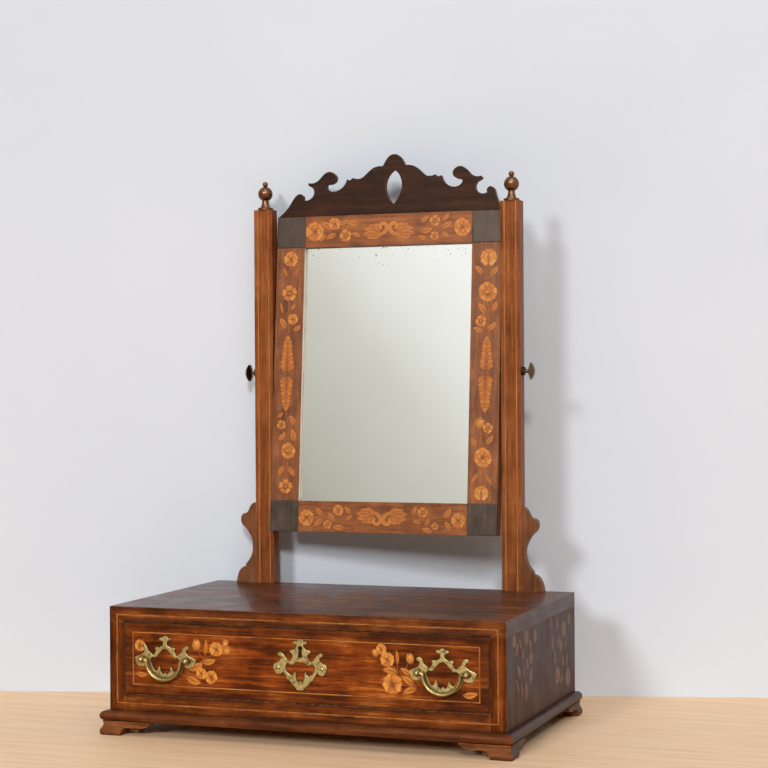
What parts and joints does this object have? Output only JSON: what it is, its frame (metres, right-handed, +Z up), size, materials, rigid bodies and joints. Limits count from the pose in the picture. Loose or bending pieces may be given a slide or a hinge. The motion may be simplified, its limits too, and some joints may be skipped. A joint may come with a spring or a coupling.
{
  "type": "dressing table mirror",
  "caption": "Dressing table mirror: a framed looking glass with a pierced fret crest tilts between slim posts that stand on a marquetry drawer box with bracket feet.",
  "frame": {"origin": "on the table under the middle of the box, at the height of the feet's soles", "axes": "+X to the viewer's right, +Y to the back, +Z up"},
  "size_m": [0.457, 0.2968, 0.6385],
  "materials": {
    "front_veneer": "polished walnut veneer",
    "top_veneer": "polished dark walnut veneer",
    "side_veneer": "polished dark walnut veneer",
    "plinth_wood": "polished dark walnut",
    "post_wood": "polished walnut",
    "frame_veneer": "polished walnut veneer",
    "ebonised_wood": "ebonised, worn",
    "crest_wood": "dark stained",
    "boxwood": "polished boxwood",
    "secondary_wood": "bare oak and pine",
    "brass": "aged brass",
    "bronze": "dark bronzed brass",
    "iron": "dull iron",
    "looking_glass": "silvered plate glass"
  },
  "bodies": {
    "base": {"foot_front_left": "plinth_wood", "foot_front_right": "plinth_wood", "foot_back_left": "plinth_wood", "foot_back_right": "plinth_wood", "foot_glue_blocks": "secondary_wood", "base_moulding_front": "plinth_wood", "base_moulding_left": "plinth_wood", "base_moulding_right": "plinth_wood", "carcass_top": "top_veneer", "carcass_side_left": "side_veneer", "carcass_side_right": "side_veneer", "front_rail": "front_veneer", "carcass_bottom": "secondary_wood", "carcass_back": "secondary_wood", "back_nails": "iron", "carcass_stringing": "boxwood", "drawer_stops": "secondary_wood", "post_left": "post_wood", "post_right": "post_wood", "post_stringing": "boxwood", "side_bracket_left": "post_wood", "side_bracket_right": "post_wood", "finial_left": "bronze", "finial_right": "bronze", "pivot_collars": "bronze"},
    "drawer": {"drawer_front": "front_veneer", "drawer_side_left": "secondary_wood", "drawer_side_right": "secondary_wood", "drawer_back": "secondary_wood", "drawer_bottom": "secondary_wood", "drawer_stringing": "boxwood", "lock_case": "iron", "lock_screws": "iron", "escutcheon": "brass", "escutcheon_pins": "brass", "handle_plate_left": "brass", "handle_plate_right": "brass", "handle_studs_left": "brass", "handle_studs_right": "brass", "handle_nuts": "iron"},
    "lock_bolt": {"lock_bolt": "brass"},
    "bail_left": {"bail_left": "brass"},
    "bail_right": {"bail_right": "brass"},
    "knob_left": {"pivot_knob_left": "bronze"},
    "knob_right": {"pivot_knob_right": "bronze"},
    "mirror": {"frame_stile_left": "frame_veneer", "frame_stile_right": "frame_veneer", "frame_rail_top": "frame_veneer", "frame_rail_bottom": "frame_veneer", "corner_block_top_left": "ebonised_wood", "corner_block_top_right": "ebonised_wood", "corner_block_bottom_left": "ebonised_wood", "corner_block_bottom_right": "ebonised_wood", "mirror_glass": "looking_glass", "mirror_backboard": "secondary_wood", "backboard_sprigs": "iron", "crest": "crest_wood", "crest_glue_blocks": "secondary_wood", "pivot_bush_left": "bronze", "pivot_bush_right": "bronze"}
  },
  "joints": [
    {"name": "drawer_slide", "type": "slide", "parent": "base", "child": "drawer", "axis": [0, -1, 0], "range_m": [0, 0.2]},
    {"name": "mirror_tilt", "type": "hinge", "parent": "base", "child": "mirror", "pos_m": [0, 0.1285, 0.385], "axis": [1, 0, 0], "range_deg": [-85.3, 94.7]},
    {"name": "knob_left_turn", "type": "hinge", "parent": "base", "child": "knob_left", "pos_m": [-0.163, 0.1285, 0.385], "axis": [1, 0, 0], "continuous": true},
    {"name": "knob_right_turn", "type": "hinge", "parent": "base", "child": "knob_right", "pos_m": [0.163, 0.1285, 0.385], "axis": [1, 0, 0], "continuous": true},
    {"name": "bail_left_swing", "type": "hinge", "parent": "drawer", "child": "bail_left", "pos_m": [-0.154, -0.1424, 0.082], "axis": [-1, 0, 0], "range_deg": [0, 85]},
    {"name": "bail_right_swing", "type": "hinge", "parent": "drawer", "child": "bail_right", "pos_m": [0.154, -0.1424, 0.082], "axis": [-1, 0, 0], "range_deg": [0, 85]},
    {"name": "lock_bolt_slide", "type": "slide", "parent": "drawer", "child": "lock_bolt", "axis": [0, 0, 1], "range_m": [0, 0.006]}
  ]
}
